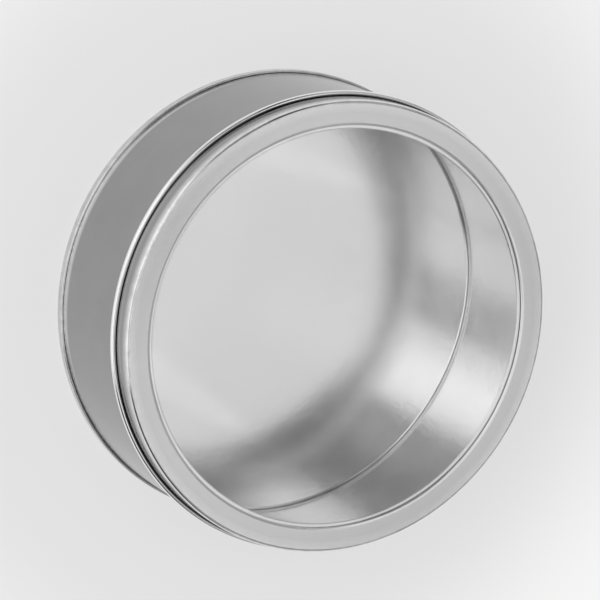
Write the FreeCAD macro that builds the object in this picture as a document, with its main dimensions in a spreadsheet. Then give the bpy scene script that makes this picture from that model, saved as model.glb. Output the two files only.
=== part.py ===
import FreeCAD, Part
import math
import os
import Sketcher

# Round tinplate tin with a slip-over window lid, standing on its base.
# The origin is the centre of the base's standing edge, and Z is the tin's axis, up out of the lid.
# Every sheet-metal piece is a strip of plate bent in section and turned once round the axis.

# Driving sizes in millimetres, or degrees for a turn.
sizes = {
    "plate": 0.25,              # tinplate thickness
    "lid_diameter": 150.0,      # outside of the lid's skirt
    "tin_height": 55.6,         # standing edge to the top of the closed lid
    "lid_depth": 10.0,          # top of the lid to the bottom of its curl
    "lid_corner": 1.1,          # outside radius between the lid's rim and skirt
    "lid_curl": 1.85,           # outside diameter of the curl on the skirt's edge
    "lid_curl_turn": 300.0,     # how far the skirt's edge is rolled
    "rim_width": 8.3,           # outside of the skirt to the hole in the lid's rim
    "lip_depth": 0.6,           # top of the rim to the end of its turned-down lip
    "lip_bend": 0.45,           # outside radius of the lip's bend
    "pane_thickness": 0.3,
    "pane_edge_gap": 0.8,       # pane's edge to the inside of the skirt
    "stack_gap": 0.02,          # lip to pane, and pane to ring
    "hem_show": 1.2,            # how far the ring's hem shows inside that hole
    "ring_edge_gap": 0.04,      # push fit of the ring in the skirt
    "hem_gap": 0.1,             # between the two layers of the ring's hem
    "hem_width": 2.2,           # how far the hem reaches back under the ring
    "slip_gap": 0.35,           # lid's skirt to the body's wall
    "seat_gap": 0.2,            # mouth of the body to the ring that sits over it
    "mouth_curl": 1.8,          # outside diameter of the curl at the mouth
    "mouth_curl_turn": 300.0,   # how far the mouth's edge is rolled
    "seam_height": 3.0,         # standing edge to the top of the base's double seam
    "seam_gap": 0.05,           # between the layers of that seam
    "seam_corner": 0.45,        # outside radius at each side of the flat standing edge
    "hook_end_gap": 0.3,        # end of each hook to the fold that it reaches into
    "panel_height": 3.2,        # standing edge to the inside face of the base
    "panel_corner": 0.8,        # radius at the edge of the base's panel
    "weld_width": 1.0,          # lap of the body's welded side seam
    "weld_rise": 0.1,           # how far that lap stands out of the wall
    "weld_end_gap": 0.3,        # lap to the base's seam and to the mouth's curl
}

# Sizes that follow from those, so that neighbours keep their fits.
derived = {
    "half_plate": "plate / 2",
    "skirt_outside": "lid_diameter / 2",
    "skirt_middle": "skirt_outside - half_plate",
    "skirt_inside": "skirt_outside - plate",
    "curl_bend": "lid_curl / 2 - half_plate",
    "curl_centre": "skirt_middle + curl_bend",
    "curl_level": "tin_height - lid_depth + lid_curl / 2",
    "corner_bend": "lid_corner - half_plate",
    "corner_centre": "skirt_outside - lid_corner",
    "corner_level": "tin_height - lid_corner",
    "lip_turn": "lip_bend - half_plate",
    "lip_inside": "skirt_outside - rim_width",
    "lip_centre": "lip_inside + lip_bend",
    "lip_level": "tin_height - lip_bend",
    "lip_end": "tin_height - lip_depth",
    "pane_top": "lip_end - stack_gap",
    "pane_bottom": "pane_top - pane_thickness",
    "pane_radius": "skirt_inside - pane_edge_gap",
    "ring_top": "pane_bottom - stack_gap",
    "ring_middle": "ring_top - half_plate",
    "ring_bottom": "ring_top - plate",
    "ring_outside": "skirt_inside - ring_edge_gap",
    "hem_bend": "(plate + hem_gap) / 2",
    "hem_level": "ring_middle - hem_bend",
    "hem_inside": "lip_inside - hem_show",
    "hem_centre": "hem_inside + hem_bend + half_plate",
    "hem_end": "hem_inside + hem_width",
    "mouth_top": "ring_bottom - seat_gap",
    "wall_outside": "skirt_inside - slip_gap",
    "wall_middle": "wall_outside - half_plate",
    "mouth_bend": "mouth_curl / 2 - half_plate",
    "mouth_level": "mouth_top - mouth_curl / 2",
    "mouth_centre": "wall_outside - mouth_curl / 2",
    "layer": "plate + seam_gap",
    "hook_centre": "wall_middle + layer",
    "hook_level": "2 * layer + half_plate",
    "seam_bend": "seam_corner - half_plate",
    "seam_inner_centre": "wall_middle - layer + seam_bend",
    "seam_outer_centre": "wall_middle + 3 * layer - seam_bend",
    "fold_centre": "wall_middle + 2 * layer",
    "fold_level": "seam_height - layer - half_plate",
    "body_hook_end": "fold_level - hook_end_gap",
    "base_hook_end": "hook_level + hook_end_gap",
    "panel_bend": "panel_corner - half_plate",
    "panel_turn_centre": "wall_middle - layer - panel_bend",
    "panel_level": "panel_height - panel_corner",
    "weld_bottom": "seam_height + weld_end_gap",
    "weld_top": "mouth_level - weld_end_gap",
}

os.makedirs("parts", exist_ok=True)
doc = FreeCAD.newDocument("window_lid_tin")
sheet = doc.addObject("Spreadsheet::Sheet", "Sizes")


def fill_sheet():
    row = 0
    for name, value in sizes.items():
        row += 1
        sheet.set(f"A{row}", name)
        sheet.set(f"B{row}", str(value))
        sheet.setAlias(f"B{row}", name)
    for name, formula in derived.items():
        row += 1
        sheet.set(f"A{row}", name)
        sheet.set(f"B{row}", f"={formula}")
        sheet.setAlias(f"B{row}", name)
    doc.recompute()


def size(name):
    return float(getattr(sheet, name))


def new_body(name):
    body = doc.addObject("PartDesign::Body", name)
    body.Label = name
    return body


def new_sketch(body, name, plane_role):
    sketch = body.newObject("Sketcher::SketchObject", name)
    plane = next(p for p in body.Origin.OriginFeatures if p.Role == plane_role)
    sketch.AttachmentSupport = [(plane, "")]
    sketch.MapMode = "FlatFace"
    return sketch


def dimension(sketch, cell, *reference):
    # A dimension that follows the sheet's cell
    row = sketch.addConstraint(Sketcher.Constraint(*reference, size(cell)))
    sketch.setExpression(f"Constraints[{row}]", f"Sizes.{cell}")


def relate(sketch, *reference):
    sketch.addConstraint(Sketcher.Constraint(*reference))


def left_of(heading):
    return FreeCAD.Vector(-heading.y, heading.x, 0)


def heading_between(first, second):
    # Heading of the straight run that leaves one bend and enters the next
    across = second["centre"] - first["centre"]
    change = second["turn"] - first["turn"]
    run = math.sqrt(across.Length ** 2 - change ** 2)
    angle = math.atan2(across.y, across.x) - math.atan2(change, run)
    return FreeCAD.Vector(math.cos(angle), math.sin(angle), 0)


def strip_sketch(body, name, start, bends, finish):
    # Section of a bent strip of plate, in the plane of X and the axis.
    # A bend is (radius cell, centre's X cell, centre's Z cell, side it turns to: 1 left, -1 right).
    # An end is (heading, cell where it stops), or (heading, None) at the axis,
    # or the cell with the angle that the last bend turns through before the strip stops.
    sketch = new_sketch(body, name, "XZ_Plane")
    half = size("half_plate")
    path = []
    for radius, across, level, side in bends:
        centre = FreeCAD.Vector(size(across), size(level), 0)
        path.append({"centre": centre, "turn": side * size(radius), "side": side})
    headings = [FreeCAD.Vector(*start[0])]
    for first, second in zip(path, path[1:]):
        headings.append(heading_between(first, second))
    rolled = isinstance(finish, str)
    if rolled:
        turned = math.radians(size(finish)) * path[-1]["side"]
        spin = FreeCAD.Rotation(FreeCAD.Vector(0, 0, 1), math.degrees(turned))
        headings.append(spin.multVec(headings[-1]))
    else:
        headings.append(FreeCAD.Vector(*finish[0]))

    def place(bend, heading, offset):
        return bend["centre"] - left_of(heading) * (bend["turn"] - offset)

    def stop(bend, heading, cell, offset):
        point = place(bend, heading, offset)
        reach = size(cell) if cell else 0.0
        if abs(heading.x) > abs(heading.y):
            return FreeCAD.Vector(reach, point.y, 0)
        return FreeCAD.Vector(point.x, reach, 0)

    edges = {}
    for offset in (half, -half):
        arcs = []
        for index, bend in enumerate(path):
            enter = place(bend, headings[index], offset) - bend["centre"]
            leave = place(bend, headings[index + 1], offset) - bend["centre"]
            begin, end = (enter, leave) if bend["side"] > 0 else (leave, enter)
            circle = Part.Circle(bend["centre"], FreeCAD.Vector(0, 0, 1), enter.Length)
            angles = (math.atan2(begin.y, begin.x), math.atan2(end.y, end.x))
            arcs.append(sketch.addGeometry(Part.ArcOfCircle(circle, *angles)))
        runs = []
        first = stop(path[0], headings[0], start[1], offset)
        runs.append(sketch.addGeometry(Part.LineSegment(first, place(path[0], headings[0], offset))))
        for index in range(1, len(path)):
            leave = place(path[index - 1], headings[index], offset)
            enter = place(path[index], headings[index], offset)
            runs.append(sketch.addGeometry(Part.LineSegment(leave, enter)))
        if not rolled:
            last = stop(path[-1], headings[-1], finish[1], offset)
            runs.append(sketch.addGeometry(Part.LineSegment(place(path[-1], headings[-1], offset), last)))
        edges[offset] = (arcs, runs)

    def caps(index, point):
        ends = [edges[offset][1][index] for offset in (half, -half)]
        corners = [getattr(sketch.Geometry[run], point) for run in ends]
        cap = sketch.addGeometry(Part.LineSegment(*corners))
        position = 1 if point == "StartPoint" else 2
        relate(sketch, "Coincident", cap, 1, ends[0], position)
        relate(sketch, "Coincident", cap, 2, ends[1], position)
        return cap, ends, position

    def square_end(end, index, point):
        heading, cell = end
        cap, ends, position = caps(index, point)
        along = "Horizontal" if abs(heading[0]) > abs(heading[1]) else "Vertical"
        across = "Vertical" if along == "Horizontal" else "Horizontal"
        relate(sketch, along, ends[0])
        relate(sketch, along, ends[1])
        if cell is None:
            relate(sketch, "PointOnObject", ends[0], position, -2)
            relate(sketch, "PointOnObject", ends[1], position, -2)
            return
        relate(sketch, across, cap)
        distance = "DistanceX" if along == "Horizontal" else "DistanceY"
        dimension(sketch, cell, distance, -1, 1, ends[0], position)

    for index, (radius, across, level, side) in enumerate(bends):
        outer = edges[-half * side][0][index]
        inner = edges[half * side][0][index]
        relate(sketch, "Coincident", outer, 3, inner, 3)
        dimension(sketch, across, "DistanceX", -1, 1, outer, 3)
        dimension(sketch, level, "DistanceY", -1, 1, outer, 3)
        for arc, sign in ((outer, "+"), (inner, "-")):
            datum = size(radius) + float(f"{sign}{half}")
            row = sketch.addConstraint(Sketcher.Constraint("Radius", arc, datum))
            sketch.setExpression(f"Constraints[{row}]", f"Sizes.{radius} {sign} Sizes.half_plate")
    for offset in (half, -half):
        arcs, runs = edges[offset]
        for index, bend in enumerate(path):
            enter, leave = (1, 2) if bend["side"] > 0 else (2, 1)
            relate(sketch, "Tangent", runs[index], 2, arcs[index], enter)
            if index + 1 < len(runs):
                relate(sketch, "Tangent", arcs[index], leave, runs[index + 1], 1)
    square_end(start, 0, "StartPoint")
    if not rolled:
        square_end(finish, -1, "EndPoint")
        return sketch
    last = [edges[offset][0][-1] for offset in (half, -half)]
    leave = 2 if path[-1]["side"] > 0 else 1
    corners = [place(path[-1], headings[-1], offset) for offset in (half, -half)]
    cap = sketch.addGeometry(Part.LineSegment(*corners))
    relate(sketch, "Coincident", cap, 1, last[0], leave)
    relate(sketch, "Coincident", cap, 2, last[1], leave)
    relate(sketch, "PointOnObject", last[0], 3, cap)
    tip = corners[1] - corners[0]
    row = sketch.addConstraint(Sketcher.Constraint("Angle", cap, math.atan2(tip.y, tip.x)))
    before = math.degrees(math.atan2(tip.y, tip.x)) - path[-1]["side"] * size(finish)
    sign = "+" if path[-1]["side"] > 0 else "-"
    sketch.setExpression(f"Constraints[{row}]", f"{round(before)} {sign} Sizes.{finish}")
    return sketch


def turn_round(body, sketch):
    revolution = body.newObject("PartDesign::Revolution", f"{body.Name}_turned")
    revolution.Profile = sketch
    revolution.ReferenceAxis = (sketch, ["V_Axis"])
    revolution.Angle = 360
    sketch.Visibility = False
    return revolution


east, west, north, south = (1, 0, 0), (-1, 0, 0), (0, 1, 0), (0, -1, 0)


def body_shell():
    # Rolled wall: its foot is hooked outwards into the base's seam and its mouth is curled inwards
    body = new_body("body_shell")
    bends = [
        ("layer", "hook_centre", "hook_level", -1),
        ("mouth_bend", "mouth_centre", "mouth_level", 1),
    ]
    section = strip_sketch(body, "body_section", (south, "body_hook_end"), bends, "mouth_curl_turn")
    turn_round(body, section)
    # Lap of the welded side seam, a low strip up the wall
    lap = new_sketch(body, "weld_section", "XY_Plane")
    lap.setExpression("AttachmentOffset.Base.z", "Sizes.weld_bottom")
    reach = size("wall_outside") + size("weld_rise")
    low, high = -size("weld_width") / 2, size("weld_width") / 2
    corners = [(size("wall_middle"), low), (reach, low), (reach, high), (size("wall_middle"), high)]
    points = [FreeCAD.Vector(x, y, 0) for x, y in corners]
    for first, second in zip(points, points[1:] + points[:1]):
        lap.addGeometry(Part.LineSegment(first, second))
    for side in range(4):
        relate(lap, "Coincident", side, 2, (side + 1) % 4, 1)
    for side, along in ((0, "Horizontal"), (2, "Horizontal"), (3, "Vertical")):
        relate(lap, along, side)
    relate(lap, "Symmetric", 1, 1, 1, 2, -1)
    dimension(lap, "weld_width", "DistanceY", 1, 1, 1, 2)
    dimension(lap, "wall_middle", "DistanceX", -1, 1, 3, 2)
    row = lap.addConstraint(Sketcher.Constraint("DistanceX", -1, 1, 1, 1, reach))
    lap.setExpression(f"Constraints[{row}]", "Sizes.wall_outside + Sizes.weld_rise")
    weld = body.newObject("PartDesign::Pad", "weld_lap")
    weld.Profile = lap
    weld.setExpression("Length", "Sizes.weld_top - Sizes.weld_bottom")
    return body


def base_end():
    # Raised flat panel, a wall down inside the body, a flat standing edge and a wrap round the body's hook
    body = new_body("base_end")
    bends = [
        ("panel_bend", "panel_turn_centre", "panel_level", -1),
        ("seam_bend", "seam_inner_centre", "seam_corner", 1),
        ("seam_bend", "seam_outer_centre", "seam_corner", 1),
        ("layer", "fold_centre", "fold_level", 1),
    ]
    section = strip_sketch(body, "base_section", (east, None), bends, (south, "base_hook_end"))
    turn_round(body, section)
    return body


def lid_ring():
    # Drawn rim and skirt: a lip turned down round the window and an outward curl on the skirt
    body = new_body("lid_ring")
    bends = [
        ("lip_turn", "lip_centre", "lip_level", -1),
        ("corner_bend", "corner_centre", "corner_level", -1),
        ("curl_bend", "curl_centre", "curl_level", 1),
    ]
    section = strip_sketch(body, "lid_section", (north, "lip_end"), bends, "lid_curl_turn")
    turn_round(body, section)
    return body


def window_retaining_ring():
    # Flat ring pushed up under the pane, with its inner edge hemmed back beneath it
    body = new_body("window_retaining_ring")
    bends = [("hem_bend", "hem_centre", "hem_level", -1)]
    section = strip_sketch(body, "ring_section", (west, "hem_end"), bends, (east, "ring_outside"))
    turn_round(body, section)
    return body


def window_pane():
    # Clear plastic disc
    body = new_body("window_pane")
    outline = new_sketch(body, "pane_outline", "XY_Plane")
    outline.setExpression("AttachmentOffset.Base.z", "Sizes.pane_bottom")
    circle = Part.Circle(FreeCAD.Vector(0, 0, 0), FreeCAD.Vector(0, 0, 1), size("pane_radius"))
    edge = outline.addGeometry(circle)
    relate(outline, "Coincident", edge, 3, -1, 1)
    dimension(outline, "pane_radius", "Radius", edge)
    disc = body.newObject("PartDesign::Pad", "pane_disc")
    disc.Profile = outline
    disc.setExpression("Length", "Sizes.pane_thickness")
    return body


fill_sheet()
makers = (body_shell, base_end, lid_ring, window_retaining_ring, window_pane)
bodies = [make() for make in makers]
doc.recompute()

faults = [o.Label for o in doc.Objects if "Invalid" in o.State or "Error" in o.State]
faults += [b.Label for b in bodies if b.Shape.isNull() or not b.Shape.isValid()]
loose = [o.Label for o in doc.Objects if o.isDerivedFrom("Sketcher::SketchObject") and not o.FullyConstrained]
if faults or loose:
    raise RuntimeError(f"failed: {faults}, not fully constrained: {loose}")

for body in bodies:
    body.Shape.exportStep(f"parts/{body.Label}.step")
    box = body.Shape.BoundBox
    print(body.Label, len(body.Shape.Solids), round(body.Shape.Volume, 2), box)
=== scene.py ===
import math

import bmesh
import bpy
import numpy as np
from mathutils import Matrix, Vector


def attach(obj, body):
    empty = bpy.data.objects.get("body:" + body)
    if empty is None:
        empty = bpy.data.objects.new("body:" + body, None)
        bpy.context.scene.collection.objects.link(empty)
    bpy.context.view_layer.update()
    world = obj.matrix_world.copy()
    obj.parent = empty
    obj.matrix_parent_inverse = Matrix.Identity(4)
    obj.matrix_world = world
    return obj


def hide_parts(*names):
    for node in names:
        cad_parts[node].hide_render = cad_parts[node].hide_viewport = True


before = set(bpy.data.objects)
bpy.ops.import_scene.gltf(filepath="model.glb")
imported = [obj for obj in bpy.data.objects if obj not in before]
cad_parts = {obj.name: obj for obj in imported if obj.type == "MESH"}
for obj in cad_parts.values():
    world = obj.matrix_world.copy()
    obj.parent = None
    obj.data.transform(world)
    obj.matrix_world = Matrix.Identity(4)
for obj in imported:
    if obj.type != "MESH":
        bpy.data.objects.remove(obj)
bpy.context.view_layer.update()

# Round tinplate tin with a slip-over window lid, standing on its base at the origin.
# Sizes are in millimetres and degrees until a mesh is made, and in metres from there on.
mm = 0.001
samePlace = 1e-8  # metres, points nearer than this are one
scene = bpy.context.scene
scene.view_settings.view_transform = "Standard"

plate = {
    "thickness": 0.25,    # tinplate
    "cutRounding": 0.05,  # sheared edges, burr taken off
    "cutSweep": 60.0,     # the points of a cut edge lie this far to either side of its middle
    "cutSteps": 5,
    "cutWear": 0.6,       # bare metal on the cut edges
    "arcStep": 7.5,       # widest step round a bend
    "runStep": 3.0,       # widest step along a straight run
    "support": 0.06,      # extra ring beside each bend, which keeps the flats flat
    "steep": 60.0,        # a run that climbs by more than this ends at a height, not at a radius
    "turns": 360,         # steps once round the tin
    "wearFade": 0.5,      # how far the rub and painted highlight on a bend fade into the flats
    "rimShadedShare": 0.3,   # share of the darker outer tone kept on the rim, so that the rim is painted lighter than the skirt
}

# Sizes that more than one piece is worked out from
tin = {
    "height": 55.6,        # standing edge to the top of the closed lid
    "radius": 75.0,        # outside of the lid's skirt
    "rimWidth": 8.3,       # outside of the skirt to the window hole
    "lipDepth": 0.6,       # top of the rim to the end of its lip
    "paneThickness": 0.3,
    "stackGap": 0.02,      # lip to pane, and pane to the ring under it
    "seatGap": 0.2,        # that ring to the mouth of the body
    "slipGap": 0.35,       # lid's skirt to the body's wall
    "seamHeight": 3.0,     # standing edge to the top of the base's double seam
    "seamGap": 0.05,       # between the layers of that seam
    "hookGap": 0.3,        # end of each hook to the fold that it reaches into
}
# Radii and heights that follow from those, so that neighbours keep their fits
half = plate["thickness"] / 2
skirtMiddle = tin["radius"] - half
skirtInside = tin["radius"] - plate["thickness"]
windowEdge = tin["radius"] - tin["rimWidth"]
rimMiddle = tin["height"] - half
lipEnd = tin["height"] - tin["lipDepth"]
paneTop = lipEnd - tin["stackGap"]
paneBottom = paneTop - tin["paneThickness"]
ringMiddle = paneBottom - tin["stackGap"] - half
mouthMiddle = ringMiddle - plate["thickness"] - tin["seatGap"]
wallOutside = skirtInside - tin["slipGap"]
wallMiddle = wallOutside - half
layer = plate["thickness"] + tin["seamGap"]
hookLevel = half + 2 * layer                  # centre of the body's hook
foldLevel = tin["seamHeight"] - half - layer  # centre of the fold over that hook
decimals = 6                                  # past these a sum of sizes is only rounding error


def bearing(angle):
    # Direction at an angle: (cos, sin)
    return np.stack([np.cos(angle), np.sin(angle)], axis=-1)


def leftOf(angle):
    # Direction a quarter turn to the left of an angle: (-sin, cos)
    return np.stack([-np.sin(angle), np.cos(angle)], axis=-1)


def straightRun(begin, end, heading, openStart, openEnd):
    # Points from begin to end in equal steps, ends left out where a bend has them already
    length = np.linalg.norm(end - begin)
    edge = min(plate["support"], length / 3)
    steps = max(2, math.ceil((length - 2 * edge) / plate["runStep"]) + 1)
    along = np.linspace(edge, length - edge, steps)
    along = np.concatenate([[0.0] * openStart, along, [length] * openEnd])
    return begin + along[:, None] * bearing(heading), np.full(len(along), heading)


def runStop(point, heading, reach):
    # Where the run through a point comes to a radius, or to a height if the run is steep
    ahead = bearing(heading)
    axis = 0 if abs(ahead[0]) > math.cos(math.radians(plate["steep"])) else 1
    return point + ahead * (round(reach, decimals) - point[axis]) / ahead[axis]


def bendAt(x, z, radius, side, wearAndSheen=0.0):
    # Arc of the middle line round (x, z), turning left where side is 1 and right where it is -1
    return {"centre": (x, z), "radius": radius, "side": side, "wearAndSheen": wearAndSheen}


def bentStrip(strip):
    # Middle line of a bent strip: straight runs joined by arcs that they touch.
    # On an arc the point is centre - turn * left(heading), where turn is the radius, positive to the left.
    # A run's heading is the bearing between two centres less atan(change of turn / length of run).
    # Gives points, headings, distance along, and the number of the bend that a point is on, -1 on a run.
    bends = strip["bends"]
    centres = np.array([bend["centre"] for bend in bends]).round(decimals)
    turns = np.array([bend["side"] * bend["radius"] for bend in bends]).round(decimals)
    headings = [math.radians(strip["startHeading"])]
    for first in range(len(bends) - 1):
        across = centres[first + 1] - centres[first]
        change = turns[first + 1] - turns[first]
        length = math.sqrt(across @ across - change ** 2)
        headings.append(math.atan2(across[1], across[0]) - math.atan2(change, length))
    headings.append(math.radians(strip.get("endHeading", 0.0)))  # not used where the strip ends in a roll

    points, angles, kinds = [], [], []
    last = None
    for index, bend in enumerate(bends):
        side = bend["side"]
        turned = side * ((headings[index + 1] - headings[index]) * side % (2 * math.pi))
        if "roll" in strip and index + 1 == len(bends):
            turned = side * math.radians(strip["roll"])
        steps = math.ceil(abs(math.degrees(turned)) / plate["arcStep"]) + 1
        sweep = np.linspace(headings[index], headings[index] + turned, steps)
        arc = centres[index] - turns[index] * leftOf(sweep)
        begin = runStop(arc[0], headings[0], strip["startReach"]) if last is None else last
        straight, straightAngles = straightRun(begin, arc[0], headings[index], last is None, False)
        points += [straight, arc]
        angles += [straightAngles, sweep]
        kinds += [np.full(len(straight), -1), np.full(len(arc), index)]
        last = arc[-1]
        headings[index + 1] = sweep[-1]
    if "roll" not in strip:
        end = runStop(last, headings[-1], strip["endReach"])
        straight, straightAngles = straightRun(last, end, headings[-1], False, True)
        points.append(straight)
        angles.append(straightAngles)
        kinds.append(np.full(len(straight), -1))
    points, angles, kinds = (np.concatenate(part) for part in (points, angles, kinds))
    steps = np.linalg.norm(np.diff(points, axis=0), axis=1)
    return points, angles, np.concatenate([[0.0], np.cumsum(steps)]), kinds


def stripOutline(strip):
    # Closed outline of the strip: middle line + half a thickness to the left, out and round the cut edge,
    # then back along the right. A cut edge is half an ellipse, cutRounding deep.
    # Wear is a bend's own number on its outer side, rub and painted highlight together, and falls off as
    # exp(-distance / wearFade).
    # Shade is 1 on the face that looks out of the tin, which is painted a darker, shaded tone, and 0 on the
    # other.
    # It is less on the rim near the axis, which is painted lighter, and 0 on the wall's foot, which is
    # painted lighter as a highlight line.
    points, angles, along, kinds = bentStrip(strip)
    deep = plate["cutRounding"]
    onAxis = strip["startReach"] == 0.0
    points[-1] -= deep * bearing(angles[-1])
    if not onAxis:
        points[0] += deep * bearing(angles[0])
    left, right = points + half * leftOf(angles), points - half * leftOf(angles)
    cutSteps = plate["cutSteps"]
    sweep = np.radians(np.linspace(plate["cutSweep"], -plate["cutSweep"], cutSteps))[:, None]

    def cut(point, heading, outward):
        across, ahead = leftOf(heading) * outward, bearing(heading) * outward
        return point + half * np.sin(sweep) * across + deep * np.cos(sweep) * ahead

    wornAndSheen = np.zeros((2, len(points)))
    for index, bend in enumerate(strip["bends"]):
        stretch = along[kinds == index]
        away = np.maximum(np.maximum(stretch[0] - along, along - stretch[-1]), 0.0)
        rubAndSheen = bend["wearAndSheen"] * np.exp(-away / plate["wearFade"])
        side = 1 if bend["side"] > 0 else 0
        wornAndSheen[side] = np.maximum(wornAndSheen[side], rubAndSheen)
    litRimWithin = round(strip.get("litRimWithin", 0.0), decimals)
    shadeShare = np.where(points[:, 0] < litRimWithin, plate["rimShadedShare"], 1.0)
    shadeShare[points[:, 1] < strip.get("litFootBelow", 0.0)] = 0.0
    leftShaded, rightShaded = (shadeShare * (strip["outside"] == side) for side in ("left", "right"))
    cutWear, cutShaded = np.full(cutSteps, plate["cutWear"]), np.zeros(cutSteps)
    outline = [left, cut(points[-1], angles[-1], 1.0), right[::-1]]
    wearAndSheen = [wornAndSheen[0], cutWear, wornAndSheen[1][::-1]]
    outside = [leftShaded, cutShaded, rightShaded[::-1]]
    if not onAxis:
        outline.append(cut(points[0], angles[0], -1.0))
        wearAndSheen.append(cutWear)
        outside.append(cutShaded)
    return {"outline": np.concatenate(outline), "closed": not onAxis,
            "wearAndSheen": np.concatenate(wearAndSheen), "outside": np.concatenate(outside)}


def gridFaces(rows, columns, rowsClosed, columnsClosed):
    # Cells of a grid of points, row by row: (i, j), (i, j + 1), (i + 1, j + 1), (i + 1, j).
    # In a closed direction the last line of points is followed by the first.
    rowCells = rows if rowsClosed else rows - 1
    columnCells = columns if columnsClosed else columns - 1
    i, j = np.meshgrid(np.arange(rowCells), np.arange(columnCells), indexing="ij")
    iNext, jNext = (i + 1) % rows, (j + 1) % columns
    corners = [i * columns + j, i * columns + jNext, iNext * columns + jNext, iNext * columns + j]
    return np.stack(corners, axis=-1).reshape(-1, 4).tolist()


def newPiece(name, places, faces):
    # Smooth mesh object at the origin, from points in millimetres
    mesh = bpy.data.meshes.new(name)
    mesh.from_pydata((places.reshape(-1, 3) * mm).tolist(), [], faces)
    mesh.polygons.foreach_set("use_smooth", np.ones(len(mesh.polygons), bool))
    mesh.update()
    piece = bpy.data.objects.new(name, mesh)
    scene.collection.objects.link(piece)
    print(f"{name}: {len(mesh.polygons)} faces")
    return piece


def closePoles(mesh):
    # All points at one place on the axis become one point
    shell = bmesh.new()
    shell.from_mesh(mesh)
    poles = [point for point in shell.verts if point.co.xy.length < samePlace]
    bmesh.ops.remove_doubles(shell, verts=poles, dist=samePlace)
    shell.to_mesh(mesh)
    shell.free()
    mesh.update()


def turnedPiece(name, section):
    # Outline of (r, z) carried once round the axis: x = r cos t, y = r sin t, z = z.
    # The map runs once round the tin in u and once along the outline in v, both from 0 to 1.
    outline, closed = section["outline"], section["closed"]
    turns, count = plate["turns"], len(outline)
    t = np.arange(turns)[:, None] * 2 * math.pi / turns
    r, z = outline[:, 0], outline[:, 1]
    places = np.stack(np.broadcast_arrays(r * np.cos(t), r * np.sin(t), z), axis=-1)
    piece = newPiece(name, places, gridFaces(turns, count, True, closed))
    mesh = piece.data

    steps = count if closed else count - 1
    lengths = np.linalg.norm(np.diff(outline, axis=0, append=outline[:1]), axis=1)[:steps]
    level = np.concatenate([[0.0], np.cumsum(lengths) / lengths.sum()])
    around = np.arange(turns + 1) / turns
    u = np.stack([around[:-1], around[:-1], around[1:], around[1:]], axis=-1)[:, None]
    v = np.stack([level[:-1], level[1:], level[1:], level[:-1]], axis=-1)[None]
    corners = np.stack(np.broadcast_arrays(u, v), axis=-1)
    plateMap = mesh.uv_layers.new(name="plateMap")
    plateMap.uv.foreach_set("vector", corners.astype(np.float32).ravel())
    for key in ("wearAndSheen", "outside"):
        values = mesh.attributes.new(key, "FLOAT", "POINT")
        values.data.foreach_set("value", np.tile(section[key], turns).astype(np.float32))
    if not closed:
        closePoles(mesh)
    return piece


def fitOn(piece, body, material, node=None):
    # The piece moves with its body, takes the slot's finish and stands for the solid
    piece.data.materials.append(material)
    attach(piece, body)
    if node:
        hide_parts(node)


def linear(hexColour):
    # sRGB hex to linear RGBA: ((c + 0.055) / 1.055) ^ 2.4, or c / 12.92 below 0.04045
    c = np.array([int(hexColour[k:k + 2], 16) for k in (1, 3, 5)]) / 255
    c = np.where(c <= 0.04045, c / 12.92, ((c + 0.055) / 1.055) ** 2.4)
    return (*c.tolist(), 1.0)


def addNode(tree, kind, inputs=None, **settings):
    # An input is a number, a colour or another node's output. On a Mix node, 0 is the factor,
    # 2 and 3 are the numbers and 6 and 7 the colours; output 0 is the number and 2 the colour.
    node = tree.nodes.new(kind)
    for key, value in settings.items():
        setattr(node, key, value)
    for socket, value in (inputs or {}).items():
        if isinstance(value, bpy.types.NodeSocket):
            tree.links.new(value, node.inputs[socket])
        else:
            node.inputs[socket].default_value = value
    return node


def newMaterial(name):
    material = bpy.data.materials.new(name)
    material.use_nodes = True
    return material, material.node_tree, material.node_tree.nodes["Principled BSDF"]


noiseSpan = {"From Min": 0.3, "From Max": 0.7}  # nearly all of a noise texture lies in this
perMm = (1 / mm,) * 3

tinplateFinish = {
    "inside": ("#F4F4F4", "#F8F8F8"),   # lit tone: bright tin, painted lighter than real tin so that the inside shows painted light
    "outside": ("#9B9B9B", "#A0A0A0"),  # painted shade: the outer faces are painted darker, standing in for the shade that they mirror
    # Rubbed tone: rub on the bends and cut edges, and on the corners and seams a painted highlight as well
    "rubbedAndSheen": "#ECECEC",
    "roughness": 0.185,
    "roughnessSpread": 0.02,
    "rubbedRoughness": 0.14,
    "mottleSize": 14.0,   # soft clouds of tin thickness
    "grainSize": 0.9,     # pits of the stone finish, drawn some six times too coarse so that they show
    "grainDepth": 0.016,  # deeper than real pits in the same measure
    "lineWidth": 0.7,     # rolling lines, drawn some three times too wide
    "lineLength": 12.0,
    "lineDepth": 0.0006,
    "scuffSize": 3.0,     # breaks up the rub and painted highlight on the bends
    "scuffSpan": {"From Min": 0.35, "From Max": 0.65},
    "scuffLeast": 0.7,    # share of the rub that is left between the scuffs
}


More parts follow.
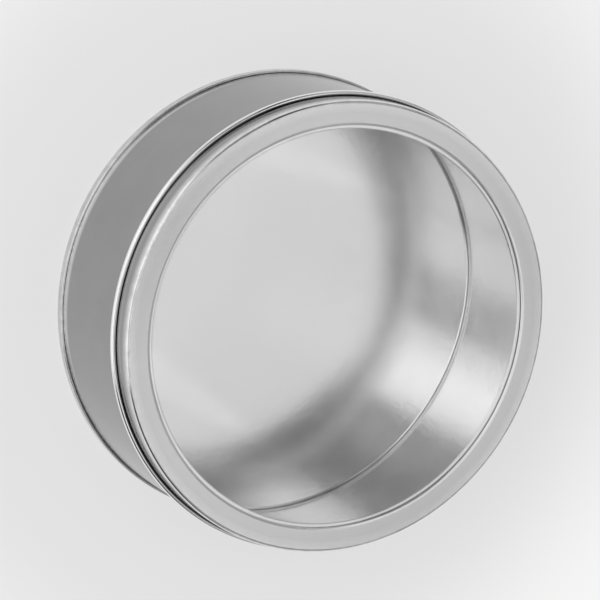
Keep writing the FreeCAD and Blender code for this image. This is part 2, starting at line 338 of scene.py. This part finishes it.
def tinplate(name, finish, sheetTurn=None, roundLength=None, outlineLength=None):
    # Electro-tinned steel sheet, cold rolled with a stone finish and then flow-brightened:
    # a soft satin mirror with a faint pitted grain and rolling lines, brighter where bends have rubbed and
    # where a painted highlight lies on them.
    # Its inside is painted lighter and its outside darker, as lit and shaded tones of one sheet.
    # The lines run straight across a flat sheet turned by sheetTurn, or round a wall along its map.
    material, tree, shader = newMaterial(name)
    place = addNode(tree, "ShaderNodeTexCoord")
    inMm = addNode(tree, "ShaderNodeMapping", {"Vector": place.outputs["Object"], "Scale": perMm})
    along, across = 1 / finish["lineLength"], 1 / finish["lineWidth"]
    if sheetTurn is None:
        scale = (roundLength * along, outlineLength * across, 1.0)
        stretched = addNode(tree, "ShaderNodeMapping", {"Vector": place.outputs["UV"], "Scale": scale})
    else:
        turned = addNode(tree, "ShaderNodeMapping", {
            "Vector": inMm.outputs["Vector"], "Rotation": (0.0, 0.0, math.radians(sheetTurn))})
        stretched = addNode(tree, "ShaderNodeMapping", {
            "Vector": turned.outputs["Vector"], "Scale": (along, across, across)})
    mottle = addNode(tree, "ShaderNodeTexNoise", {
        "Vector": inMm.outputs["Vector"], "Scale": 1 / finish["mottleSize"],
        "Detail": 4.0, "Roughness": 0.6})
    grain = addNode(tree, "ShaderNodeTexNoise", {
        "Vector": inMm.outputs["Vector"], "Scale": 1 / finish["grainSize"],
        "Detail": 1.0, "Roughness": 0.4})
    lines = addNode(tree, "ShaderNodeTexNoise", {
        "Vector": stretched.outputs["Vector"], "Scale": 1.0, "Detail": 2.0, "Roughness": 0.5})
    scuff = addNode(tree, "ShaderNodeTexNoise", {
        "Vector": inMm.outputs["Vector"], "Scale": 1 / finish["scuffSize"],
        "Detail": 3.0, "Roughness": 0.65})
    rubAndSheen = addNode(tree, "ShaderNodeAttribute", attribute_name="wearAndSheen")
    patchy = addNode(tree, "ShaderNodeMapRange", {
        "Value": scuff.outputs["Fac"], **finish["scuffSpan"],
        "To Min": finish["scuffLeast"], "To Max": 1.0})
    wornAndSheen = addNode(tree, "ShaderNodeMath", {
        0: rubAndSheen.outputs["Fac"], 1: patchy.outputs["Result"]}, operation="MULTIPLY")
    clouds = addNode(tree, "ShaderNodeMapRange", {"Value": mottle.outputs["Fac"], **noiseSpan})
    # Painted light: the inside takes a lighter tone, and the outer faces take a darker, shaded tone of the
    # same sheet
    inside, outside = (addNode(tree, "ShaderNodeMix", {
        0: clouds.outputs["Result"], 6: linear(dark), 7: linear(light)}, data_type="RGBA")
        for dark, light in (finish["inside"], finish["outside"]))
    face = addNode(tree, "ShaderNodeAttribute", attribute_name="outside")
    tone = addNode(tree, "ShaderNodeMix", {
        0: face.outputs["Fac"], 6: inside.outputs[2], 7: outside.outputs[2]}, data_type="RGBA")
    colour = addNode(tree, "ShaderNodeMix", {
        # Bends take the rubbed tone: partly rub, partly painted highlight
        0: wornAndSheen.outputs["Value"], 6: tone.outputs[2], 7: linear(finish["rubbedAndSheen"])}, data_type="RGBA")
    satin = addNode(tree, "ShaderNodeMapRange", {
        "Value": mottle.outputs["Fac"], **noiseSpan,
        "To Min": finish["roughness"] - finish["roughnessSpread"],
        "To Max": finish["roughness"] + finish["roughnessSpread"]})
    rough = addNode(tree, "ShaderNodeMix", {
        0: wornAndSheen.outputs["Value"], 2: satin.outputs["Result"], 3: finish["rubbedRoughness"]},
        data_type="FLOAT")
    pits = addNode(tree, "ShaderNodeBump", {
        "Height": grain.outputs["Fac"], "Strength": 1.0, "Distance": finish["grainDepth"] * mm})
    rolled = addNode(tree, "ShaderNodeBump", {
        "Height": lines.outputs["Fac"], "Strength": 1.0, "Distance": finish["lineDepth"] * mm,
        "Normal": pits.outputs["Normal"]})
    shader.inputs["Metallic"].default_value = 1.0
    tree.links.new(colour.outputs[2], shader.inputs["Base Color"])
    tree.links.new(rough.outputs[0], shader.inputs["Roughness"])
    tree.links.new(rolled.outputs["Normal"], shader.inputs["Normal"])
    return material


# Body wall: a welded sleeve, hooked outwards at the foot and curled inwards at the mouth
bodyWall = {
    "curlBend": 0.775,     # a bend is to the middle of the plate
    "curlRoll": 300.0,     # how far the plate goes round in the curl
    "curlWear": 0.5,
    "litFootBelow": 4.0,      # the wall's foot below this height keeps the lighter inside tone, a painted highlight line where the wall mirrors the seam
    "roundLength": 467.0,  # of the strip that the wall is rolled from
}
mouthBend = bodyWall["curlBend"]
wallSection = stripOutline({
    "startHeading": -90.0, "startReach": foldLevel - tin["hookGap"],
    "bends": [
        bendAt(wallMiddle + layer, hookLevel, layer, -1),
        bendAt(wallMiddle - mouthBend, mouthMiddle - mouthBend, mouthBend, 1, bodyWall["curlWear"]),
    ],
    "roll": bodyWall["curlRoll"], "outside": "right", "litFootBelow": bodyWall["litFootBelow"],
})
wallLength = np.linalg.norm(np.diff(wallSection["outline"], axis=0), axis=1).sum()
bodyShell = turnedPiece("bodyShell", wallSection)
wallPlate = tinplate("tinplateRolledWall", tinplateFinish, None, bodyWall["roundLength"], wallLength)
fitOn(bodyShell, "tin_body", wallPlate, "body_shell")

# Welded lap of the wall's side seam, a low ridge of overlapping weld nuggets
sideSeam = {
    "wallRadius": wallOutside, "width": 1.0, "rise": 0.1, "sunk": 0.04,
    "bottom": tin["seamHeight"] + layer, "top": 53.0,
    "nugget": 1.1, "bow": 0.35, "ripple": 0.25, "taper": 1.5, "acrossSteps": 14, "alongStep": 0.16,
    "dark": "#8F8D8A", "light": "#ABA9A6", "roughness": 0.34, "roughnessSpread": 0.08,
    "burnSize": 0.9, "pitDepth": 0.01,
}


def seamLap(name, seam):
    # Height over the wall = rise * (1 - s^4) * ends(z) * (1 - ripple * cos^2(pi * (z + curve) / nugget)),
    # where s runs from -1 to 1 across the lap and curve = bow * nugget * s^2 bends each nugget.
    # Ends(z) falls to 0 within taper of each end, as a quarter of a sine wave does.
    # The profile closes below, sunk into the wall, and is carried straight up the side.
    steps = int((seam["top"] - seam["bottom"]) / seam["alongStep"])
    z, s = np.meshgrid(np.linspace(seam["bottom"], seam["top"], steps + 1),
                       np.linspace(-1, 1, seam["acrossSteps"] + 1), indexing="ij")
    curve = seam["bow"] * seam["nugget"] * s ** 2
    ends = np.minimum(1.0, np.minimum(z - seam["bottom"], seam["top"] - z) / seam["taper"])
    ripple = 1 - seam["ripple"] * np.cos(math.pi * (z + curve) / seam["nugget"]) ** 2
    rise = seam["rise"] * (1 - s ** 4) * np.sin(ends * math.pi / 2) * ripple
    angle = s * seam["width"] / 2 / seam["wallRadius"]
    upper = seam["wallRadius"] + rise
    lower = np.full_like(upper, seam["wallRadius"] - seam["sunk"])
    r = np.concatenate([upper, lower[:, ::-1]], axis=1)
    t = np.concatenate([angle, angle[:, ::-1]], axis=1)
    places = np.stack([r * np.cos(t), r * np.sin(t), np.concatenate([z, z], axis=1)], axis=-1)
    count = r.shape[1]
    faces = gridFaces(steps + 1, count, False, True)
    faces.append(list(range(count))[::-1])                         # foot
    faces.append(list(range(steps * count, (steps + 1) * count)))  # head
    return newPiece(name, places, faces)


def weldedSteel(name, seam):
    # Resistance-welded tinplate: the tin has burnt off the nuggets, which leaves a duller, darker,
    # rippled line
    material, tree, shader = newMaterial(name)
    place = addNode(tree, "ShaderNodeTexCoord")
    inMm = addNode(tree, "ShaderNodeMapping", {"Vector": place.outputs["Object"], "Scale": perMm})
    burn = addNode(tree, "ShaderNodeTexNoise", {
        "Vector": inMm.outputs["Vector"], "Scale": 1 / seam["burnSize"], "Detail": 4.0, "Roughness": 0.6})
    tone = addNode(tree, "ShaderNodeMix", {
        0: burn.outputs["Fac"], 6: linear(seam["dark"]), 7: linear(seam["light"])}, data_type="RGBA")
    rough = addNode(tree, "ShaderNodeMapRange", {
        "Value": burn.outputs["Fac"], **noiseSpan,
        "To Min": seam["roughness"] - seam["roughnessSpread"],
        "To Max": seam["roughness"] + seam["roughnessSpread"]})
    pits = addNode(tree, "ShaderNodeBump", {
        "Height": burn.outputs["Fac"], "Strength": 1.0, "Distance": seam["pitDepth"] * mm})
    shader.inputs["Metallic"].default_value = 1.0
    tree.links.new(tone.outputs[2], shader.inputs["Base Color"])
    tree.links.new(rough.outputs["Result"], shader.inputs["Roughness"])
    tree.links.new(pits.outputs["Normal"], shader.inputs["Normal"])
    return material


weldLap = seamLap("sideSeamLap", sideSeam)
fitOn(weldLap, "tin_body", weldedSteel("weldedTinplateSeam", sideSeam))

# Base: a raised panel, a wall down inside the body, a flat standing edge and a wrap round the body's hook
baseEnd = {
    "panelHeight": 3.2,      # standing edge to the inside of the panel
    "panelRadius": 72.9,     # where the panel stops being flat
    "panelBend": 1.8,        # the panel's edge is rounded in two bends, a wide one
    "shoulderBend": 0.3,     # and a tight one
    "shoulderLevel": 2.561,  # whose centre is at this height, where it meets the wide one
    "panelWear": 0.2,
    "footBend": 0.325,       # at each side of the standing edge
    # rub and a painted highlight on the seam's bends
    "seamWearAndSheen": 0.8,
    "sheetTurn": 21.0,       # how the sheet lay in the press
}
seamInside, seamOutside = wallMiddle - layer, wallMiddle + 3 * layer
panelBend, shoulderBend, footBend = (baseEnd[key] for key in ("panelBend", "shoulderBend", "footBend"))
panelWear, seamWearAndSheen = baseEnd["panelWear"], baseEnd["seamWearAndSheen"]
baseSection = stripOutline({
    "startHeading": 0.0, "startReach": 0.0,
    "bends": [
        bendAt(baseEnd["panelRadius"], baseEnd["panelHeight"] - half - panelBend, panelBend, -1, panelWear),
        bendAt(seamInside - shoulderBend, baseEnd["shoulderLevel"], shoulderBend, -1, panelWear),
        bendAt(seamInside + footBend, half + footBend, footBend, 1, seamWearAndSheen),
        bendAt(seamOutside - footBend, half + footBend, footBend, 1, seamWearAndSheen),
        bendAt(seamOutside - layer, foldLevel, layer, 1, seamWearAndSheen),
    ],
    "endHeading": -90.0, "endReach": hookLevel + tin["hookGap"], "outside": "right",
})
basePanel = turnedPiece("baseEnd", baseSection)
basePlate = tinplate("tinplateStampedBase", tinplateFinish, baseEnd["sheetTurn"])
fitOn(basePanel, "tin_body", basePlate, "base_end")

# Lid: a lip turned down round the window, a flat rim, a skirt and an outward curl
lidRing = {
    "depth": 10.0,        # top of the rim to the bottom of the curl
    "lipBend": 0.2,       # the window's edge is rounded in two bends, a tight one
    "lipLevel": 55.064,   # whose centre is at this height, where it meets the wide one
    "rimBend": 2.0,       # and a wide one
    "rimRadius": 67.874,  # from where the rim is flat
    "cornerBend": 0.975,
    "curlBend": 0.8,
    "curlRoll": 300.0,
    "lipWear": 0.2,
    "rimWear": 0.1,
    "skirtWearAndSheen": 0.9,     # rub and a painted highlight, on the corner and the curl
    "grainDepth": 0.006,  # pressed smooth in the die
    "sheetTurn": 15.0,
}
lipBend, rimBend, cornerBend, curlBend = (
    lidRing[key] for key in ("lipBend", "rimBend", "cornerBend", "curlBend"))
cornerRadius, skirtWearAndSheen = skirtMiddle - cornerBend, lidRing["skirtWearAndSheen"]
curlLevel = tin["height"] - lidRing["depth"] + half + curlBend
lidSection = stripOutline({
    "startHeading": 90.0, "startReach": lipEnd,
    "bends": [
        bendAt(windowEdge + half + lipBend, lidRing["lipLevel"], lipBend, -1, lidRing["lipWear"]),
        bendAt(lidRing["rimRadius"], rimMiddle - rimBend, rimBend, -1, lidRing["rimWear"]),
        bendAt(cornerRadius, rimMiddle - cornerBend, cornerBend, -1, skirtWearAndSheen),
        bendAt(skirtMiddle + curlBend, curlLevel, curlBend, 1, skirtWearAndSheen),
    ],
    # The rim, inside the corner, keeps less of the darker outer tone: it is painted lighter than the skirt
    "roll": lidRing["curlRoll"], "outside": "left", "litRimWithin": cornerRadius,
})
lidFinish = {**tinplateFinish, "grainDepth": lidRing["grainDepth"]}
lidRim = turnedPiece("lidRing", lidSection)
lidPlate = tinplate("tinplateDrawnLid", lidFinish, lidRing["sheetTurn"])
fitOn(lidRim, "lid", lidPlate, "lid_ring")

# Ring pushed up under the pane, its inner edge folded back beneath it in a teardrop hem
paneRing = {
    "hemShow": 1.2,   # how far the hem shows inside the window hole
    "hemBend": 0.3,
    "hemSlope": 3.4,  # the folded leg comes up to the ring at this angle
    "hemEnd": 71.4,   # radius of the leg's cut edge
    "hemWear": 0.3,
    "edgeGap": 0.04,  # push fit in the skirt
    "sheetTurn": 70.0,
}
hemBend = paneRing["hemBend"]
hemCentre = windowEdge - paneRing["hemShow"] + half + hemBend
ringSection = stripOutline({
    "startHeading": 180.0 + paneRing["hemSlope"], "startReach": paneRing["hemEnd"],
    "bends": [bendAt(hemCentre, ringMiddle - hemBend, hemBend, -1, paneRing["hemWear"])],
    "endHeading": 0.0, "endReach": skirtInside - paneRing["edgeGap"], "outside": "neither",
})
retainingRing = turnedPiece("windowRetainingRing", ringSection)
ringPlate = tinplate("tinplateHemmedRing", lidFinish, paneRing["sheetTurn"])
fitOn(retainingRing, "lid", ringPlate, "window_retaining_ring")

# Clear pane
pane = {
    "edgeGap": 0.8,  # to the inside of the lid's skirt
    "edgeRounding": 0.08, "edgeSteps": 5, "runStep": 2.5,
    "tint": "#FFFFFF", "index": 1.57, "roughness": 0.03,
    "hazeSize": 9.0, "hazeRoughness": 0.075, "hazeSpan": {"From Min": 0.4, "From Max": 0.75},
}


def paneOutline(pane):
    # Half section of a disc: out along the top, round the edge on two quarter circles and back below
    r, e = skirtInside - pane["edgeGap"], pane["edgeRounding"]
    out = np.linspace(0.0, r - e, int(r / pane["runStep"]))[:-1]
    sweep = np.radians(np.linspace(90, 0, pane["edgeSteps"]))
    corner = np.stack([r - e + e * np.cos(sweep), paneTop - e + e * np.sin(sweep)], axis=-1)
    under = corner[::-1] * [1, -1] + [0, paneTop + paneBottom]
    top = np.stack([out, np.full_like(out, paneTop)], axis=-1)
    bottom = np.stack([out[::-1], np.full_like(out, paneBottom)], axis=-1)
    outline = np.concatenate([top, corner, under, bottom])
    plain = np.zeros(len(outline))  # no wear, no painted highlight and no painted shade
    return {"outline": outline, "closed": False, "wearAndSheen": plain, "outside": plain}


def clearSheet(name, pane):
    # Clear PET sheet, extruded and die cut: colourless and glossy, with faint handling haze in its shine.
    # The sheet is too thin to bend what is behind it, so light goes straight through and the shine of
    # both faces, 2 * fresnel / (1 + fresnel), is given by the face that a ray meets first.
    material, tree, shader = newMaterial(name)
    place = addNode(tree, "ShaderNodeTexCoord")
    inMm = addNode(tree, "ShaderNodeMapping", {"Vector": place.outputs["Object"], "Scale": perMm})
    haze = addNode(tree, "ShaderNodeTexNoise", {
        "Vector": inMm.outputs["Vector"], "Scale": 1 / pane["hazeSize"], "Detail": 5.0, "Roughness": 0.65})
    rough = addNode(tree, "ShaderNodeMapRange", {
        "Value": haze.outputs["Fac"], **pane["hazeSpan"],
        "To Min": pane["roughness"], "To Max": pane["hazeRoughness"]})
    shine = addNode(tree, "ShaderNodeFresnel", {"IOR": pane["index"]})
    twice = addNode(tree, "ShaderNodeMath", {0: shine.outputs["Fac"], 1: 2.0}, operation="MULTIPLY")
    oneMore = addNode(tree, "ShaderNodeMath", {0: shine.outputs["Fac"], 1: 1.0}, operation="ADD")
    both = addNode(tree, "ShaderNodeMath", {
        0: twice.outputs["Value"], 1: oneMore.outputs["Value"]}, operation="DIVIDE", use_clamp=True)
    side = addNode(tree, "ShaderNodeNewGeometry")
    front = addNode(tree, "ShaderNodeMath", {0: 1.0, 1: side.outputs["Backfacing"]}, operation="SUBTRACT")
    share = addNode(tree, "ShaderNodeMath", {
        0: both.outputs["Value"], 1: front.outputs["Value"]}, operation="MULTIPLY")
    through = addNode(tree, "ShaderNodeBsdfTransparent", {"Color": linear(pane["tint"])})
    shader.inputs["Base Color"].default_value = linear(pane["tint"])
    shader.inputs["Metallic"].default_value = 1.0
    tree.links.new(rough.outputs["Result"], shader.inputs["Roughness"])
    sheet = addNode(tree, "ShaderNodeMixShader", {
        0: share.outputs["Value"], 1: through.outputs["BSDF"], 2: shader.outputs["BSDF"]})
    tree.links.new(sheet.outputs["Shader"], tree.nodes["Material Output"].inputs["Surface"])
    return material


windowPane = turnedPiece("windowPane", paneOutline(pane))
fitOn(windowPane, "lid", clearSheet("clearPetSheet", pane), "window_pane")

# Floor: a plain white sweep, big enough to have no edge in view
floorSheet = {
    "reach": 6000.0, "firstRing": 20.0, "rings": 40, "spokes": 96,
    "colour": "#FAFAFA", "roughness": 0.9,
    "backdropColour": "#FFFFFF", "backdrop": 0.92,
    "nearTin": 105.0, "backdropFrom": 180.0,  # the paper turns into the backdrop between these
    "lift": 0.6,                              # share of backdrop under the tin
}


def floorDisc(name, sheet):
    # Flat disc: x = r cos t, y = r sin t, z = 0, with wider rings further out
    r = np.concatenate([[0.0], np.geomspace(sheet["firstRing"], sheet["reach"], sheet["rings"])])
    t = np.linspace(0, 2 * math.pi, sheet["spokes"], endpoint=False)[:, None]
    places = np.stack(np.broadcast_arrays(r * np.cos(t), r * np.sin(t), 0.0), axis=-1)
    piece = newPiece(name, places, gridFaces(len(t), len(r), True, False))
    closePoles(piece.data)
    return piece


def mattPaper(name, sheet):
    # White cartridge paper: matt, with no gloss at all. Near the tin it takes the shadow,
    # and further out it turns into an even white backdrop, which metal and glass show too.
    material, tree, shader = newMaterial(name)
    shader.inputs["Base Color"].default_value = linear(sheet["colour"])
    shader.inputs["Roughness"].default_value = sheet["roughness"]
    shader.inputs["Specular IOR Level"].default_value = 0.0
    place = addNode(tree, "ShaderNodeTexCoord")
    reach = addNode(tree, "ShaderNodeVectorMath", {0: place.outputs["Object"]}, operation="LENGTH")
    far = addNode(tree, "ShaderNodeMapRange", {
        "Value": reach.outputs["Value"], "From Min": sheet["nearTin"] * mm,
        "From Max": sheet["backdropFrom"] * mm, "To Min": sheet["lift"], "To Max": 1.0},
        interpolation_type="SMOOTHSTEP")
    path = addNode(tree, "ShaderNodeLightPath")
    mirrored = addNode(tree, "ShaderNodeMath", {
        0: path.outputs["Is Glossy Ray"], 1: path.outputs["Is Transmission Ray"]}, operation="MAXIMUM")
    seen = addNode(tree, "ShaderNodeMath", {
        0: path.outputs["Is Camera Ray"], 1: mirrored.outputs["Value"]}, operation="MAXIMUM")
    share = addNode(tree, "ShaderNodeMath", {
        0: far.outputs["Result"], 1: seen.outputs["Value"]}, operation="MULTIPLY")
    backdrop = addNode(tree, "ShaderNodeEmission", {
        "Color": linear(sheet["backdropColour"]), "Strength": sheet["backdrop"]})
    either = addNode(tree, "ShaderNodeMixShader", {
        0: share.outputs["Value"], 1: shader.outputs["BSDF"], 2: backdrop.outputs["Emission"]})
    tree.links.new(either.outputs["Shader"], tree.nodes["Material Output"].inputs["Surface"])
    return material


floor = floorDisc("floor", floorSheet)
floor.data.materials.append(mattPaper("mattWhitePaper", floorSheet))

# Soft studio light: a dim dome with a white horizon
dome = {"colour": "#FFFFFF", "strength": 0.08, "horizon": 0.92, "horizonTop": 12.0, "horizonFull": 3.0}


def studioDome(name, dome):
    # Light of the horizon up to horizonFull degrees, then a smooth fall to the dim dome at horizonTop
    world = bpy.data.worlds.new(name)
    world.use_nodes = True
    tree = world.node_tree
    background = tree.nodes["Background"]
    background.inputs["Color"].default_value = linear(dome["colour"])
    place = addNode(tree, "ShaderNodeTexCoord")
    height = addNode(tree, "ShaderNodeSeparateXYZ", {0: place.outputs["Generated"]})
    full, top = (math.sin(math.radians(dome[key])) for key in ("horizonFull", "horizonTop"))
    fall = addNode(tree, "ShaderNodeMapRange", {
        "Value": height.outputs["Z"], "From Min": full, "From Max": top,
        "To Min": dome["horizon"], "To Max": dome["strength"]}, interpolation_type="SMOOTHSTEP")
    tree.links.new(fall.outputs["Result"], background.inputs["Strength"])
    return world


scene.world = studioDome("studio", dome)

# Softboxes round the tin, all at one distance from it; half sizes are angles seen from the tin,
# and glow is what a box's face shows
rig = {"aim": (0.0, 0.0, 30.0), "distance": 1200.0}
stripBox = {"elevation": 61, "half": (3.64, 8.0)}  # narrow boxes side by side over the tin
softboxes = {
    "window": {"azimuths": [283.5], "elevation": 32, "half": (38.5, 24.0), "glow": 1.1},
    "front": {**stripBox, "azimuths": [255, 270], "glow": 0.98},
    "frontSide": {**stripBox, "azimuths": [285], "glow": 0.64},
    "frontRight": {**stripBox, "azimuths": [300, 315], "glow": 0.06},
    "right": {**stripBox, "azimuths": [-30, -15, 0, 15, 30], "glow": 0.67},
    "backRight": {**stripBox, "azimuths": [45, 60], "glow": 0.34},
    "back": {**stripBox, "azimuths": [75, 90, 105], "elevation": 59.5, "glow": 0.66},
    "backLow": {"azimuths": [45, 90, 135], "elevation": 28, "half": (19.0, 22.0), "glow": 0.36},
    "leftLow": {"azimuths": [173, 225], "elevation": 28, "half": (15.0, 22.0), "glow": 0.34},
    "backLeft": {**stripBox, "azimuths": [120, 135], "glow": 0.42},
    "left": {**stripBox, "azimuths": [150, 165], "glow": 0.76},
    "leftEnd": {**stripBox, "azimuths": [180], "glow": 0.36},
    "overhead": {"azimuths": [270], "elevation": 90, "half": (19.0, 19.0), "glow": 0.85},
}


def awayFrom(azimuth, elevation):
    # Direction out from the tin, in degrees round it and up: x = cos a cos e, y = sin a cos e, z = sin e
    a, e = math.radians(azimuth), math.radians(elevation)
    return Vector((math.cos(a) * math.cos(e), math.sin(a) * math.cos(e), math.sin(e)))


for name, box in softboxes.items():
    for azimuth in box["azimuths"]:
        away = awayFrom(azimuth, box["elevation"])
        lamp = bpy.data.lights.new(name, "AREA")
        lamp.shape = "RECTANGLE"
        lamp.size, lamp.size_y = (
            2 * rig["distance"] * mm * math.tan(math.radians(angle)) for angle in box["half"])
        lamp.energy = box["glow"] * math.pi * lamp.size * lamp.size_y
        holder = bpy.data.objects.new(name, lamp)
        scene.collection.objects.link(holder)
        holder.location = (Vector(rig["aim"]) + away * rig["distance"]) * mm
        holder.rotation_mode = "QUATERNION"
        holder.rotation_quaternion = away.to_track_quat("Z", "Y")
        holder.visible_camera = False
print("softboxes:", sum(len(box["azimuths"]) for box in softboxes.values()))

# Camera, rolled as the tin lies in the picture
shot = {
    "lens": 336.0, "sensor": 36.0,
    "azimuth": 270.0, "elevation": 61.372, "roll": 116.4957,
    "aim": (0.0, 0.0, tin["height"]),
    "offset": (-12.567, 9.122, 1811.86),  # from the aim: across, up and back in the rolled picture
}
back = awayFrom(shot["azimuth"], shot["elevation"])
turn = back.to_track_quat("Z", "Y").to_matrix() @ Matrix.Rotation(math.radians(shot["roll"]), 3, "Z")
spot = Vector(shot["aim"]) + turn @ Vector(shot["offset"])
lens = bpy.data.cameras.new("camera")
lens.lens, lens.sensor_width = shot["lens"], shot["sensor"]
camera = bpy.data.objects.new("camera", lens)
scene.collection.objects.link(camera)
camera.matrix_world = Matrix.Translation(spot * mm) @ turn.to_4x4()
scene.camera = camera
print("camera at", [round(x, 1) for x in spot], "mm")
